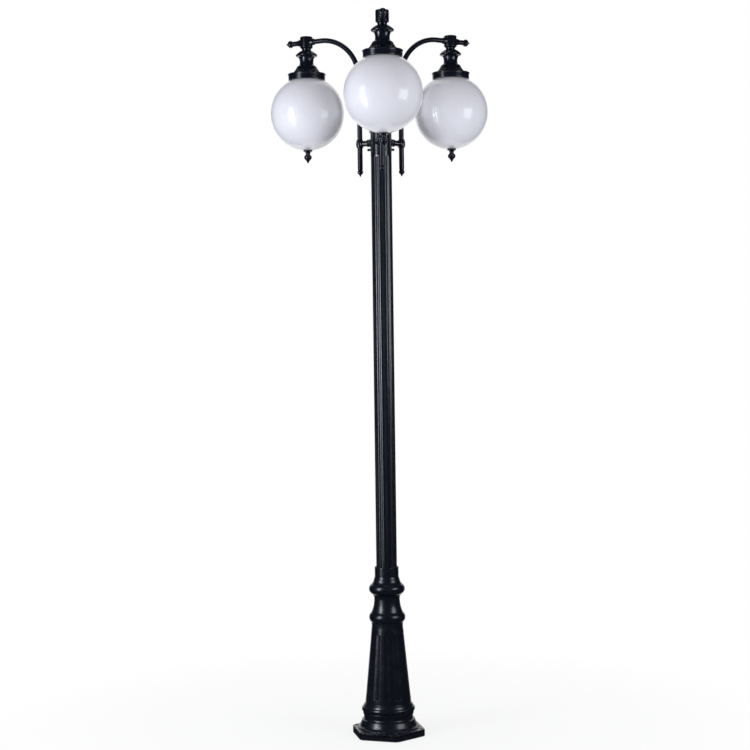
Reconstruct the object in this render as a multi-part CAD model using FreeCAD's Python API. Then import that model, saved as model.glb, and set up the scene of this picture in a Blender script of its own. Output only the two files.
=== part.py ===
import FreeCAD, Part
import math
import os

# A garden lamp post with three globe lamps on bent arms.
# Millimetres, +Z up. The origin is on the post's axis at the underside of the foot, and one arm points along -Y.
# Every lamp is modelled at azimuth 0, along +X, and turned about the post to its place.

# ---- the lamps' places ----
arm_azimuths = {"front": -90.0, "right": 30.0, "left": 150.0}
lamp_radius = 283.0
globe_height = 2089.0
arm_height = 2330.0

# ---- foot and base casting ----
foot_corner_radius = 128.0
foot_thickness = 23.0
foot_corner_round = 24.0
foot_edge_round = 2.5
foot_corner_azimuth = -79.0
foot_hole_radius = 5.5
foot_hole_place = 113.0
bell_bottom = 118.0
bell_top = 352.0
bell_bottom_radius = 75.8
bell_top_radius = 53.4
bell_reeds = 12
bell_groove_low = 124.0
bell_groove_high = 338.0
bell_groove_depth = 0.035
bell_land = 0.004
base_inside = 78.0
skirt_inside = 74.0
bell_floor_inside = 65.0
bell_roof_inside = 46.0
neck_inside = 35.5
cable_bore = 28.5
socket_floor = 486.0
socket_foot = 527.0
socket_top = 561.0
socket_radius = 40.0
pad_face = 58.0
pad_width = 62.0
pad_low = 14.0
pad_high = 56.0
block_length = 44.0
block_depth = 15.0
block_height = 20.0
block_foot = 25.0
terminal_pitch = 14.0

# ---- fluted column ----
column_radius = 35.0
column_bore = 27.5
column_top = 1942.0
column_flutes = 12
column_flute_radius = 21.0
column_flute_depth = 1.6
column_flute_azimuth = -90.0
column_flute_top = 1918.0
spigot_radius = 30.95
spigot_length = 18.0

# ---- bracket hub ----
hub_radius = 35.2
hub_bore = 31.0
hub_top = 2003.0
stub_height = 1971.0
stub_radius = 9.6
stub_bore = 4.5
eye_radius = 13.2
eye_end_radius = 10.7
eye_height = 27.0
hub_screw_height = 1949.0

# ---- arms ----
rod_radius = 80.0
tube_radius = 8.6
tube_bore = 6.3
bend_radius = 145.0
rod_foot = 1885.0
tube_reach = 53.0
running_clearance = 0.05
clamp_gap = 0.3
wire_hole = 4.0

# ---- lamp heads ----
tee_radius = 20.5
tee_foot = 2296.0
tee_top = 2348.0
nipple_radius = 5.0
nipple_bore = 3.4
nipple_top = 2318.0
nipple_foot = 2202.0
canopy_foot = 2223.0
gallery_rim = 63.6
gallery_skirt = 60.8
gallery_inside = 57.2
gallery_foot = 2201.0
gallery_roof = 2216.0
gallery_screw_height = 2207.5

# ---- globes ----
globe_radius = 125.0
globe_wall = 3.0
neck_radius = 52.0
neck_top = 2213.0

# ---- the radius of a screw's shank ----
m4, m5, m6 = 2.0, 2.5, 3.0

axis_z = FreeCAD.Vector(0, 0, 1)
axis_x = FreeCAD.Vector(1, 0, 0)
axis_y = FreeCAD.Vector(0, 1, 0)
origin = FreeCAD.Vector(0, 0, 0)
tiny = 1e-7


def at(radius, height):
    """The point of an outline at a distance from the axis and a height."""
    return FreeCAD.Vector(radius, 0, height)


def outline(start, *steps):
    """A closed wire in the XZ plane. A step is a point to go straight to, or two points:
    an arc that passes through the first and ends at the second."""
    edges = []
    here = at(*start)
    for step in steps:
        if isinstance(step[0], tuple):
            there = at(*step[1])
            edges.append(Part.Arc(here, at(*step[0]), there).toShape())
        else:
            there = at(*step)
            edges.append(Part.makeLine(here, there))
        here = there
    if here.distanceToPoint(at(*start)) > tiny:
        edges.append(Part.makeLine(here, at(*start)))
    return Part.Wire(edges)


def crown(start, apex):
    """The last arc of an outline, from a point to the axis at the height of the apex: part of a ball
    whose centre is on the axis."""
    radius, height = start
    centre = (radius ** 2 + height ** 2 - apex ** 2) / (2 * (height - apex))
    ball = apex - centre
    half = math.atan2(radius, (height - centre) * math.copysign(1, ball)) / 2
    return (abs(ball) * math.sin(half), centre + ball * math.cos(half)), (0, apex)


def turned(start, *steps):
    """The solid that an outline of radius and height sweeps about the Z axis."""
    return Part.Face(outline(start, *steps)).revolve(origin, axis_z, 360)


def moved(shape, x=0.0, y=0.0, z=0.0):
    """A copy of a shape, shifted."""
    copy = shape.copy()
    copy.translate(FreeCAD.Vector(x, y, z))
    return copy


def spun(shape, angle, x=0.0):
    """A copy of a shape, turned about the upright line at x."""
    copy = shape.copy()
    copy.rotate(FreeCAD.Vector(x, 0, 0), axis_z, angle)
    return copy


def around(shape, count, first=0.0, x=0.0):
    """Copies of a shape, spread evenly round the upright line at x."""
    return [spun(shape, first + 360.0 * i / count, x) for i in range(count)]


def laid(shape, x, height):
    """A solid turned about Z, laid so that its axis runs outwards along X from (x, height)."""
    copy = shape.copy()
    copy.rotate(origin, axis_y, 90)
    copy.translate(FreeCAD.Vector(x, 0, height))
    return copy


def rod(radius, low, high, x=0.0):
    """An upright cylinder."""
    return Part.makeCylinder(radius, high - low, FreeCAD.Vector(x, 0, low))


def bar(radius, start, end, height):
    """A cylinder along X."""
    return Part.makeCylinder(radius, end - start, FreeCAD.Vector(start, 0, height), axis_x)


def hexagon(across_flats, low, high, bore, x=0.0):
    """A hexagonal nut."""
    corner = across_flats / 2 / math.cos(math.pi / 6)
    sides = [FreeCAD.Vector(x + corner * math.cos(math.pi / 3 * i), corner * math.sin(math.pi / 3 * i), low)
             for i in range(7)]
    block = Part.Face(Part.makePolygon(sides)).extrude(FreeCAD.Vector(0, 0, high - low))
    return block.cut(rod(bore, low, high, x))


def bell_radius(height):
    """The radius over the ridges of the bell's straight taper."""
    share = (height - bell_bottom) / (bell_top - bell_bottom)
    return bell_bottom_radius + share * (bell_top_radius - bell_bottom_radius)


# ---- the foot and the base casting ----

def foot():
    """The hexagonal foot with rounded corners, before its holes."""
    corners = [FreeCAD.Vector(foot_corner_radius * math.cos(math.pi / 3 * i),
                              foot_corner_radius * math.sin(math.pi / 3 * i), 0) for i in range(7)]
    slab = Part.Face(Part.makePolygon(corners)).extrude(FreeCAD.Vector(0, 0, foot_thickness))
    upright = [edge for edge in slab.Edges if edge.BoundBox.ZLength > foot_thickness / 2]
    slab = slab.makeFillet(foot_corner_round, upright)
    top = [edge for edge in slab.Edges if edge.BoundBox.ZMin > foot_thickness / 2]
    return spun(slab.makeFillet(foot_edge_round, top), foot_corner_azimuth)


def base_body():
    """The turned form of the base: skirt, double bead, bell, ring, neck, ring and column socket."""
    return turned(
        (0, foot_thickness - 4),
        (103.5, foot_thickness - 4),
        (103.5, foot_thickness),
        ((93.6, 38.5), (88.6, 50)),
        (88.2, 52.5),
        ((83.0, 55.8), (81.6, 63)),
        (82.4, 68),
        ((84.6, 73.5), (83.9, 78.5)),
        ((88.8, 86.5), (83.6, 96.5)),
        ((80.4, 103), (76.4, 108.5)),
        (bell_bottom_radius, bell_bottom),
        (bell_top_radius, bell_top),
        ((52.3, 366), (53.2, 376)),
        ((60.6, 392), (53.6, 407.5)),
        (51.4, 411),
        ((45.2, 431), (43.0, 451)),
        ((43.8, 460), (47.0, 466.5)),
        (51.4, 471),
        ((60.1, 486), (51.8, 502)),
        ((45.2, 511), (43.1, 519)),
        (socket_radius + 1.2, socket_foot - 4),
        (socket_radius, socket_foot),
        (socket_radius, socket_top - 2),
        (socket_radius - 2, socket_top),
        (0, socket_top),
    )


def base_cavity():
    """The hollow of the base, open below, and the shelf and socket for the column above it."""
    return turned(
        (0, -1),
        (base_inside, -1),
        (base_inside, 46),
        (skirt_inside, 60),
        (skirt_inside, 92),
        (bell_floor_inside, bell_bottom),
        (bell_roof_inside, bell_top),
        (bell_roof_inside, 395),
        (neck_inside, 428),
        (neck_inside, 468),
        (cable_bore, 478),
        (cable_bore, socket_floor),
        (column_radius + running_clearance, socket_floor),
        (column_radius + running_clearance, socket_top + 1),
        (0, socket_top + 1),
    )


def bell_reed(place):
    """One reed of the bell, a leaning cone in the XZ plane turned to its place. Its side shows as a narrow
    land at the bell's surface and falls to the grooves beside it."""
    valley = 1 - bell_groove_depth
    across = valley * math.sin(math.pi / bell_reeds)
    along = valley * math.cos(math.pi / bell_reeds)
    rise = 1 + bell_land - along
    size = (rise ** 2 + across ** 2) / (2 * rise)
    centre = 1 + bell_land - size
    low = FreeCAD.Vector(centre * bell_radius(bell_bottom), 0, bell_bottom)
    high = FreeCAD.Vector(centre * bell_radius(bell_top), 0, bell_top)
    cone = Part.makeCone(size * bell_radius(bell_bottom), size * bell_radius(bell_top),
                         (high - low).Length, low, high - low)
    return spun(cone, place)


def bell_groove():
    """The cutter for one groove of the bell: an arch-ended bar that points outwards along X,
    less the reeds to its left and right."""
    pitch = math.pi / bell_reeds
    wide = bell_radius(bell_groove_low) * math.sin(pitch)
    slim = bell_radius(bell_groove_high) * math.sin(pitch)
    low, high = bell_groove_low + wide, bell_groove_high - slim
    start = bell_roof_inside

    def point(y, z):
        return FreeCAD.Vector(start, y, z)

    arch = Part.Wire([
        Part.Arc(point(wide, low), point(0, bell_groove_low), point(-wide, low)).toShape(),
        Part.makeLine(point(-wide, low), point(-slim, high)),
        Part.Arc(point(-slim, high), point(0, bell_groove_high), point(slim, high)).toShape(),
        Part.makeLine(point(slim, high), point(wide, low)),
    ])
    block = Part.Face(arch).extrude(FreeCAD.Vector(bell_bottom_radius, 0, 0))
    beside = 180.0 / bell_reeds
    return block.cut([bell_reed(beside), bell_reed(-beside)])


def terminal_pad():
    """The flat cast pad inside the base that carries the terminal block, grown into the skirt's wall."""
    pad = Part.makeBox(pad_width, base_inside, pad_high - pad_low, FreeCAD.Vector(-pad_width / 2, pad_face, pad_low))
    return pad.common(rod(base_inside + 1, pad_low, pad_high))


def base_casting():
    grooves = around(bell_groove(), bell_reeds, foot_corner_azimuth + 180.0 / bell_reeds)
    holes = around(rod(foot_hole_radius, -1, foot_thickness + 1, foot_hole_place), 6, foot_corner_azimuth)
    screw_holes = around(bar(m5, socket_radius - 8, socket_radius + 1, socket_screw_height()), 3, 90.0)
    body = base_body().cut(grooves)
    body = body.fuse(foot()).cut(base_cavity()).fuse(terminal_pad())
    body = body.cut([*holes, *screw_holes, *terminal_screws(), earth_screw()])
    return body.removeSplitter()


def socket_screw_height():
    """The height of the three grub screws that lock the column."""
    return (socket_top + socket_foot) / 2


def column_screws():
    """Three grub screws through the socket wall, down to the column's ridges."""
    screw = bar(m5, column_radius + running_clearance, socket_radius + 0.4, socket_screw_height())
    return Part.makeCompound(around(screw, 3, 90.0))


def terminal_block():
    """A three-way screw terminal block on the pad: three wire ways from top to bottom, each with the
    wells of its two clamping screws."""
    front = pad_face - block_depth
    block = Part.makeBox(block_length, block_depth, block_height,
                         FreeCAD.Vector(-block_length / 2, front, block_foot))
    for way in (-1, 0, 1):
        x = way * terminal_pitch
        block = block.cut(Part.makeCylinder(2.6, block_height, FreeCAD.Vector(x, front + 7, block_foot)))
        for end in (-1, 1):
            z = block_foot + block_height / 2 + end * block_height * 0.28
            block = block.cut(Part.makeCylinder(2.2, 7, FreeCAD.Vector(x, front, z), axis_y))
    return block.cut(terminal_screws())


def terminal_screws():
    """The two screws that hold the block on the pad, heads on the block."""
    screws = []
    for x in (-terminal_pitch / 2, terminal_pitch / 2):
        place = FreeCAD.Vector(x, pad_face - block_depth, block_foot + block_height / 2)
        shank = Part.makeCylinder(m4 * 0.8, block_depth + 7, place, axis_y)
        head = Part.makeCylinder(m4 * 1.5, 2, place - axis_y * 2, axis_y)
        screws.append(shank.fuse(head).removeSplitter())
    return screws


def earth_screw():
    """The earth screw in the pad, beside the block."""
    place = FreeCAD.Vector(block_length / 2 + 5, pad_face - 3, block_foot + block_height / 2)
    shank = Part.makeCylinder(m4 * 0.8, 12, place, axis_y)
    return shank.fuse(Part.makeCylinder(m4 * 1.7, 3, place, axis_y)).removeSplitter()


# ---- the column ----

def column_shaft():
    """The fluted tube, with the plain spigot that enters the bracket hub."""
    shaft = turned(
        (column_bore, socket_floor),
        (column_radius, socket_floor),
        (column_radius, column_top),
        (spigot_radius, column_top),
        (spigot_radius, column_top + spigot_length),
        (column_bore, column_top + spigot_length),
    )
    place = column_radius + column_flute_radius - column_flute_depth
    flute = rod(column_flute_radius, socket_floor - 1, column_flute_top, place)
    flute = flute.fuse(Part.makeSphere(column_flute_radius, FreeCAD.Vector(place, 0, column_flute_top)))
    return shaft.cut(around(flute, column_flutes, column_flute_azimuth))


# ---- the bracket hub ----

def stub():
    """One arm of the hub: flared root, ring, round stub and the barrel-shaped eye for the rod."""
    arm = laid(turned(
        (0, 28),
        (21.5, 28),
        ((15.5, 37.5), (11.6, 46)),
        (12.6, 46.8),
        (12.6, 49.8),
        (stub_radius, 50.8),
        (stub_radius, 63),
        ((10.2, 67), (11.6, 70)),
        (11.6, rod_radius),
        (0, rod_radius),
    ), 0, stub_height)
    low = stub_height - eye_height / 2
    high = stub_height + eye_height / 2
    barrel = turned(
        (0, low),
        (eye_end_radius, low),
        ((eye_radius, stub_height), (eye_end_radius, high)),
        (0, high),
    )
    return arm.common(rod(rod_radius, low - 20, high + 20)).fuse(moved(barrel, rod_radius))


def screw_boss():
    """The small boss under a stub for a hub screw."""
    return bar(5.4, hub_radius - 4, 41, hub_screw_height)


def bracket_hub():
    """The cast head that carries the three arms."""
    shell = turned((0, column_top), (hub_radius, column_top), (hub_radius, hub_top), (0, hub_top))
    arms = []
    cuts = [rod(hub_bore, column_top - 1, hub_top + 1)]
    for azimuth in arm_azimuths.values():
        arms += [spun(stub(), azimuth), spun(screw_boss(), azimuth)]
        cuts.append(spun(rod(tube_radius + running_clearance, stub_height - 20, stub_height + 20, rod_radius), azimuth))
        cuts.append(spun(bar(stub_bore, hub_bore - 5, rod_radius, stub_height), azimuth))
        cuts.append(spun(hub_screw(), azimuth))
        cuts.append(spun(eye_screw(), azimuth))
    return shell.fuse(arms).cut(cuts).removeSplitter()


def hub_screw():
    """A round-headed screw that locks the hub on the column's spigot."""
    shank = bar(m6, spigot_radius + running_clearance, 42, hub_screw_height)
    head = laid(turned((0, 0), (4.1, 0), (4.1, 8.5), crown((4.1, 8.5), 11)), 41, hub_screw_height)
    return shank.fuse(head).removeSplitter()


def eye_screw():
    """A grub screw in the side of an eye that clamps the rod."""
    place = FreeCAD.Vector(rod_radius, tube_radius + clamp_gap, stub_height)
    return Part.makeCylinder(m5, eye_radius - tube_radius - clamp_gap, place, axis_y)


def hub_cap():
    """The low domed cap that closes the hub."""
    return turned(
        (hub_bore - 3, hub_top - 10),
        (hub_bore, hub_top - 10),
        (hub_bore, hub_top),
        (37.6, hub_top),
        ((39.0, hub_top + 3.5), (37.0, hub_top + 7)),
        (35.0, hub_top + 8),
        ((26.5, hub_top + 22), (8.0, hub_top + 29)),
        ((6.2, hub_top + 32), (7.4, hub_top + 35)),
        crown((7.4, hub_top + 35), hub_top + 50),
        (0, hub_top + 24),
        (crown((hub_bore - 3, hub_top), hub_top + 24)[0], (hub_bore - 3, hub_top)),
    )


# ---- one arm, along +X ----

def tube_shape(radius, over=0.0):
    """The bent bar of the arm: rod, quarter bend and level run, longer at both ends by over."""
    bend_x = rod_radius + bend_radius
    bend_z = arm_height - bend_radius
    upright = rod(radius, rod_foot - over, bend_z, rod_radius)
    level = bar(radius, bend_x, lamp_radius + tube_reach + over, arm_height)
    section = Part.Face(Part.Wire(Part.makeCircle(radius, FreeCAD.Vector(rod_radius, 0, bend_z))))
    bend = section.revolve(FreeCAD.Vector(bend_x, 0, bend_z), axis_y, 90)
    return upright.fuse([bend, level]).removeSplitter()


def arm():
    """The bent tube, with the hole where the wires enter and the hole where they leave for the lamp."""
    entry = bar(wire_hole, rod_radius - tube_radius - 1, rod_radius, stub_height)
    leave = rod(wire_hole, arm_height - tube_radius - 1, arm_height, lamp_radius)
    return tube_shape(tube_radius).cut([tube_shape(tube_bore, 1.0), entry, leave])


def finial(knob, length, spigot=12.0):
    """A turned knob with a pointed tip along +Z and a plug for the tube's end below it."""
    return turned(
        (0, -spigot),
        (tube_bore - 1, -spigot),
        (tube_bore, 1 - spigot),
        (tube_bore, 0),
        (tube_radius - 1.2, 0),
        ((tube_radius - 1.6, 1.2), (tube_radius - 0.6, 2.2)),
        ((knob, length * 0.40), (knob * 0.55, length * 0.68)),
        ((knob * 0.36, length * 0.78), (knob * 0.24, length * 0.93)),
        crown((knob * 0.24, length * 0.93), length),
    )


def arm_lower_finial():
    """The finial that closes the foot of the rod, point down."""
    shape = finial(9.6, 23.0)
    shape.rotate(origin, axis_x, 180)
    return moved(shape, rod_radius, 0, rod_foot)


def arm_outer_finial():
    """The finial that closes the outer end of the arm."""
    return laid(finial(12.3, 26.0), lamp_radius + tube_reach, arm_height)


# ---- one lamp head, about the upright line at the lamp's radius ----

def tee_hub():
    """The tee that hangs the lamp on the arm: a turned barrel with two bosses round the tube."""
    barrel = moved(turned(
        (0, tee_foot),
        (12.6, tee_foot),
        (12.2, tee_foot + 6),
        ((13.6, tee_foot + 11.5), (19.0, tee_foot + 15)),
        (tee_radius, tee_foot + 18),
        (tee_radius, tee_top - 4.5),
        ((19.2, tee_top - 1.8), (16.4, tee_top - 1)),
        (6.0, tee_top),
        (0, tee_top),
    ), lamp_radius)
    boss = turned((0, 0), (12.4, 0), (12.4, 18), ((11.6, 24), (10.4, 31)), (0, 31))
    outward = laid(boss, lamp_radius, arm_height)
    inward = spun(outward, 180, lamp_radius)
    cuts = [
        bar(tube_radius + running_clearance, lamp_radius - 40, lamp_radius + 40, arm_height),
        rod(nipple_radius, tee_foot - 1, nipple_top, lamp_radius),
        rod(wire_hole, nipple_top - 1, arm_height, lamp_radius),
        tee_screw(),
    ]
    return barrel.fuse([outward, inward]).cut(cuts).removeSplitter()


def tee_screw():
    """The low-headed screw in the top of the tee that clamps it on the arm."""
    foot_height = arm_height + tube_radius + clamp_gap
    return moved(turned(
        (0, foot_height),
        (m6, foot_height),
        (m6, tee_top),
        (6.0, tee_top),
        (6.0, tee_top + 1.6),
        crown((6.0, tee_top + 1.6), tee_top + 3),
    ), lamp_radius)


def nipple():
    """The hollow threaded rod that ties tee, canopy, gallery and lampholder together."""
    return rod(nipple_radius, nipple_foot, nipple_top, lamp_radius).cut(
        rod(nipple_bore, nipple_foot - 1, nipple_top + 1, lamp_radius))


def nipple_nut():
    """The nut on the nipple, under the gallery's roof."""
    return hexagon(17, gallery_roof - 4.5, gallery_roof, nipple_radius, lamp_radius)


def canopy():
    """The hollow cast canopy: disc with a sloping top, waisted vase and flared foot with a bead."""
    outer = (
        (nipple_radius, tee_foot),
        (13.4, tee_foot),
        ((21.0, tee_foot - 5.2), (33.6, tee_foot - 9.4)),
        ((35.9, tee_foot - 11.6), (34.2, tee_foot - 14.2)),
        (27.0, tee_foot - 15.2),
        ((22.2, tee_foot - 26), (22.9, tee_foot - 42)),
        ((27.5, tee_foot - 56), (40.6, tee_foot - 67)),
        ((43.2, tee_foot - 69.6), (41.6, tee_foot - 72.2)),
        (41.6, canopy_foot),
    )
    inner = (
        (36.5, canopy_foot),
        ((23.5, tee_foot - 58), (18.4, tee_foot - 42)),
        (17.6, tee_foot - 20),
        (13.0, tee_foot - 8),
        (nipple_radius, tee_foot - 8),
    )
    return moved(turned(outer[0], *outer[1:], *inner), lamp_radius)


def gallery_outline():
    """The outline of the gallery, the collar that takes the neck of the globe."""
    return (
        (nipple_radius, canopy_foot),
        (44.0, canopy_foot),
        ((53.0, canopy_foot - 1.0), (62.6, canopy_foot - 2.6)),
        ((64.6, canopy_foot - 4.4), (gallery_rim - 0.6, canopy_foot - 6.4)),
        (gallery_skirt + 0.4, canopy_foot - 7.4),
        (gallery_skirt, gallery_foot + 0.8),
        (gallery_skirt - 0.8, gallery_foot),
        (gallery_inside, gallery_foot),
        (gallery_inside, gallery_roof),
        (nipple_radius, gallery_roof),
    )


def gallery():
    shape = gallery_outline()
    body = moved(turned(shape[0], *shape[1:]), lamp_radius)
    return body.cut(gallery_screws())


def gallery_screws():
    """Three grub screws through the gallery's skirt, just short of the globe's neck."""
    screw = bar(m5, neck_radius + 0.4, gallery_skirt + 0.5, gallery_screw_height)
    return [moved(shape, lamp_radius) for shape in around(screw, 3, 60.0)]


def gasket():
    """The flat rubber ring between the gallery's roof and the globe's neck."""
    low = neck_top + clamp_gap
    return moved(turned((46, low), (55.5, low), (55.5, gallery_roof), (46, gallery_roof)), lamp_radius)


def lampholder():
    """The screw lampholder, open below."""
    top = gallery_roof - 5.5
    return moved(turned(
        (nipple_radius, top),
        (9.0, top),
        (9.6, top - 7),
        ((17.0, top - 9.5), (19.5, top - 15)),
        (19.5, top - 34),
        (20.4, top - 35),
        (20.4, top - 38),
        (19.5, top - 39),
        (18.6, top - 54),
        (14.2, top - 54),
        (14.2, top - 26),
        (nipple_radius - 2, top - 23),
        (nipple_radius - 2, nipple_foot),
        (nipple_radius, nipple_foot),
    ), lamp_radius)


def bulb():
    """The bulb: screw cap, conical body and round envelope."""
    top = gallery_roof - 32.5
    return moved(turned(
        (0, top),
        (4.6, top),
        (8.0, top - 3),
        (13.2, top - 5),
        (13.2, top - 25),
        ((18.0, top - 36), (27.5, top - 56)),
        crown((27.5, top - 56), top - 103),
    ), lamp_radius)


# ---- one globe ----

def globe():
    """The opal globe: a blown sphere with a plain neck at the top and a small hole at the bottom."""
    centre = FreeCAD.Vector(lamp_radius, 0, globe_height)
    inside = globe_radius - globe_wall
    shell = Part.makeSphere(globe_radius, centre).fuse(rod(neck_radius, globe_height, neck_top, lamp_radius))
    hollow = Part.makeSphere(inside, centre).fuse(rod(neck_radius - globe_wall, globe_height, neck_top + 1, lamp_radius))
    dome = rod(neck_radius, neck_top, globe_height + globe_radius + 1, lamp_radius)
    hole = rod(m6 + 1, globe_height - globe_radius - 1, globe_height - inside + 2, lamp_radius)
    return shell.cut([dome, hollow, hole]).removeSplitter()


def globe_finial():
    """The turned finial under the globe: cup, waist and acorn, with its threaded stem."""
    cup = globe_height - globe_radius - 0.2
    return moved(turned(
        (0, cup + 21),
        (m6, cup + 20),
        (m6, cup),
        (15.0, cup),
        ((15.6, cup - 2.0), (13.4, cup - 4.2)),
        ((9.0, cup - 7), (7.6, cup - 11)),
        ((8.0, cup - 14), (10.2, cup - 16.5)),
        ((13.0, cup - 22), (9.6, cup - 31)),
        ((5.2, cup - 36), (3.2, cup - 40)),
        crown((3.2, cup - 40), cup - 43.4),
    ), lamp_radius)


def finial_nut():
    """The flanged nut inside the globe that holds the finial."""
    seat = globe_height - globe_radius + globe_wall + 0.8
    flange = rod(11, seat, seat + 2, lamp_radius).cut(rod(m6, seat - 1, seat + 3, lamp_radius))
    return flange.fuse(hexagon(10, seat + 2, seat + 7, m6, lamp_radius)).removeSplitter()


# ---- writing the pieces ----

def write(shape, name):
    """One STEP file per piece, named after its node."""
    if isinstance(shape, list):
        shape = Part.makeCompound(shape)
    shape.exportStep(os.path.join("parts", name + ".step"))


def main():
    os.makedirs("parts", exist_ok=True)
    write(base_casting(), "base_casting")
    write(column_screws(), "column_screws")
    write(terminal_block(), "terminal_block")
    write(terminal_screws(), "terminal_screws")
    write(earth_screw(), "earth_screw")
    write(column_shaft(), "column_shaft")
    write(bracket_hub(), "bracket_hub")
    write(hub_cap(), "hub_cap")
    write([spun(hub_screw(), azimuth) for azimuth in arm_azimuths.values()], "hub_screws")
    write([spun(eye_screw(), azimuth) for azimuth in arm_azimuths.values()], "eye_screws")
    lamp_pieces = {
        "arm": arm(),
        "arm_lower_finial": arm_lower_finial(),
        "arm_outer_finial": arm_outer_finial(),
        "tee_hub": tee_hub(),
        "tee_screw": tee_screw(),
        "nipple": nipple(),
        "nipple_nut": nipple_nut(),
        "canopy": canopy(),
        "gallery": gallery(),
        "gallery_screws": Part.makeCompound(gallery_screws()),
        "gasket": gasket(),
        "lampholder": lampholder(),
        "bulb": bulb(),
        "globe": globe(),
        "globe_finial": globe_finial(),
        "finial_nut": finial_nut(),
    }
    for side, azimuth in arm_azimuths.items():
        for name, shape in lamp_pieces.items():
            write(spun(shape, azimuth), f"{name}_{side}")


main()
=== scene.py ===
"""The looks of a garden lamp post with three hanging globe lamps, dressed over its packed solids.

The solids give every form down to the screws. This file adds their paint, plastic, rubber and
metal, and the studio. It makes some pieces anew over their solids: the column with its rounded
lands, the canopies with their lobed skirts, the galleries with their screws, and the tees.
"""

import math

import bpy
import numpy as np
from bpy.props import FloatProperty, FloatVectorProperty, IntProperty, PointerProperty
from mathutils import Matrix, Vector


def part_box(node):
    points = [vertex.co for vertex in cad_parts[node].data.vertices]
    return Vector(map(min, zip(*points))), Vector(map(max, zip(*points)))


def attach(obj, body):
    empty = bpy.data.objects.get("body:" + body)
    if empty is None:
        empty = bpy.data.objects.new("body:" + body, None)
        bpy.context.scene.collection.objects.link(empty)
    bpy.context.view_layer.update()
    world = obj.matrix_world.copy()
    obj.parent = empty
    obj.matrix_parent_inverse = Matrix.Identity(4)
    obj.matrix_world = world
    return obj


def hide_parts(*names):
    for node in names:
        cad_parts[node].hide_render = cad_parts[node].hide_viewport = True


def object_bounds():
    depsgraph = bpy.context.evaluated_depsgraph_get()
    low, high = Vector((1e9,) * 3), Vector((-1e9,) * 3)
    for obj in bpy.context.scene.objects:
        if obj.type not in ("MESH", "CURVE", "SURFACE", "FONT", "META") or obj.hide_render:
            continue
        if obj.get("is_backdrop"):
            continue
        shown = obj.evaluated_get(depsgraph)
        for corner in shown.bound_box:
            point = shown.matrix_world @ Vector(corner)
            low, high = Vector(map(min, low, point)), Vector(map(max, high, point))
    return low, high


bl_info = {
    "name": "Three-Globe Lamp Post",
    "version": (1, 0, 0),
    "blender": (4, 5, 0),
    "location": "3D View > Sidebar > Lamp Post",
    "description": "Dresses a garden lamp post and sets its studio",
    "category": "Object",
}

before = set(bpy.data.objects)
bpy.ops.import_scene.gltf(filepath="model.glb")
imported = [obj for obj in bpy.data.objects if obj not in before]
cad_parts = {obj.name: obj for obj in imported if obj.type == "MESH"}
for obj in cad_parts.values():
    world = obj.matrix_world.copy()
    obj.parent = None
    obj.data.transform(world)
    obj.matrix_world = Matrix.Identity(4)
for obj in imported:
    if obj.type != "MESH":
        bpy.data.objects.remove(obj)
cad_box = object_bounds()

SIDES = ("front", "right", "left")
TURN = 2 * math.pi

# Lengths are in metres. Where a new piece is taller than its solid, a lift says by how much.

# The height of the foot's top, whose edge is rough.
FOOT_TOP = 0.023

# The column: its front flute is turned a little from the front, and its top is a plain ring with a
# spigot. The round ends of the flutes start a gap above the last ring of the straight part.
COLUMN_FLUTES = 12
COLUMN_TURN = math.radians(2.5)
COLUMN_BORE = 0.0275
SPIGOT_RADIUS = 0.03095
SPIGOT_LENGTH = 0.018
PLAIN_TOP = 0.024
FLUTE_END_GAP = 0.01
FLUTE_COLUMNS = 20
COLUMN_RINGS = 30

# The tees: the barrel's largest radius, and how far a boss stands out from the middle.
TEE_RADIUS = 0.0216
TEE_LIFT = 0.0015
TEE_SIDES = 96
BOSS_REACH = 0.031

# The canopies: holes for the nipple and for the tee's neck, and the grooves between the lobes,
# which start this far below the top and are at their full depth this far above the foot.
CANOPY_LIFT = 0.007
NIPPLE_HOLE = 0.0051
NECK_HOLE = 0.0128
GROOVE_START = 0.045
GROOVE_FULL = 0.006
GROOVE_GROWTH = 0.7
LOBE_COLUMNS = 14

# The galleries under the canopies: radii of the rim, the skirt and the space for the globe's neck.
GALLERY_LIFT = 0.0025
GALLERY_RIM = 0.065
GALLERY_SKIRT = 0.0626
GALLERY_INSIDE = 0.0572
GALLERY_DEPTH = 0.015
GALLERY_SIDES = 160
SKIRT_FLARE = 0.0004

# The galleries' grub screws. Shares are of a screw's radius, and the tip's of the socket's width.
GALLERY_SCREW_RADIUS = 0.0025
GALLERY_SCREW_LENGTH = 0.0104
SCREW_SIDES = 24
SCREW_CHAMFER = 0.2
SOCKET_SHARE = 0.5
SOCKET_DEPTH = 1.0
SOCKET_POINT = 0.1
SOCKET_TIP = 0.5

# Points of an outline lie about this far apart.
OUTLINE_SPACING = 0.0012

# The height of the waves under the paint, as a share of the base casting's.
SMALL_CAST_GRAIN = 0.45
COLUMN_GRAIN = 0.22
TUBE_GRAIN = 0.15

# The globes' gloss and the height of their waves, and the length of a bulb's screw cap.
OPAL_COAT = 0.85
OPAL_COAT_ROUGHNESS = 0.04
OPAL_SAG = 0.0006
BULB_CAP = 0.0255

# The floor: the radii of its rings, the radius from which it is seen all white, and the share of
# that white at the post.
FLOOR_RINGS = (0.001, 0.5, 3.0, 14.0)
FLOOR_SIDES = 64
FLOOR_FADE = 1.5
FLOOR_WHITE = 0.82

# Bearings of the side lamps, from the camera's own.
LEFT_TURN = math.radians(54)
RIGHT_TURN = math.radians(56)

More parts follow.
